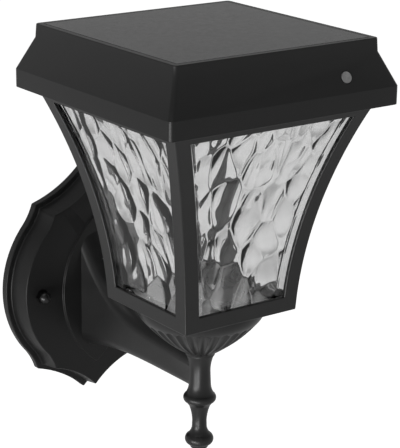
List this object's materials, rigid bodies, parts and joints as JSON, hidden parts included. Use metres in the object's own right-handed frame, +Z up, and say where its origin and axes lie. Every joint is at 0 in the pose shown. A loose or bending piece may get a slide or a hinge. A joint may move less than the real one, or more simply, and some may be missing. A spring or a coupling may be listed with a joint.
{
  "type": "solar wall lantern",
  "caption": "Square black solar wall lantern with a flared frame, rippled panes, a fluted bowl and a cast arm on a bracket-shaped wall plate.",
  "frame": {"origin": "centre of the wall plate's back face, on the wall", "axes": "+Y into the wall, +Z up, the lantern stands out along -Y"},
  "size_m": [0.146, 0.199, 0.2434],
  "materials": {
    "black_plastic": "satin",
    "solar_cells": "gloss",
    "seal_rubber": "matte",
    "tray_plastic": "matte",
    "steel": "zinc plated",
    "battery_wrap": "gloss",
    "circuit_board": "satin",
    "led_board_white": "satin",
    "led_yellow": "gloss",
    "diffuser_white": "frosted",
    "sensor_white": "gloss",
    "button_rubber": "matte",
    "black_casting": "cast, satin black powder coat",
    "rippled_glass": "rippled",
    "reflector": "satin",
    "plate_black": "cast, satin black powder coat",
    "black_fasteners": "satin"
  },
  "bodies": {
    "root": {"lantern_frame": "black_casting", "glass_front": "rippled_glass", "glass_right": "rippled_glass", "glass_back": "rippled_glass", "glass_left": "rippled_glass", "reflector_floor": "reflector", "fluted_cup": "black_casting", "tie_rod": "steel", "tie_washer": "steel", "tie_nut": "steel", "arm_casting": "black_casting", "finial": "black_casting", "arm_screws": "steel", "wall_plate": "plate_black", "mounting_strap": "steel", "strap_studs": "steel", "cap_nuts": "black_fasteners"},
    "solar_head": {"roof_shell": "black_plastic", "solar_panel": "solar_cells", "panel_seal": "seal_rubber", "head_tray": "tray_plastic", "tray_seal": "seal_rubber", "tray_screws": "steel", "battery": "battery_wrap", "battery_cradle": "tray_plastic", "battery_contacts": "steel", "control_board": "circuit_board", "led_board": "led_board_white", "led_chips": "led_yellow", "led_diffuser": "diffuser_white", "sensor_lens": "sensor_white", "sensor_board": "circuit_board", "button_switch": "circuit_board"},
    "power_button": {"power_button": "button_rubber"}
  },
  "joints": [
    {"name": "head_lift", "type": "slide", "parent": "root", "child": "solar_head", "axis": [0, 0, 1], "range_m": [0, 0.045]},
    {"name": "power_button_press", "type": "slide", "parent": "solar_head", "child": "power_button", "axis": [0, 0, 1], "range_m": [0, 0.0012], "stiffness_N_per_m": 1200, "springref_m": -0.0003}
  ]
}
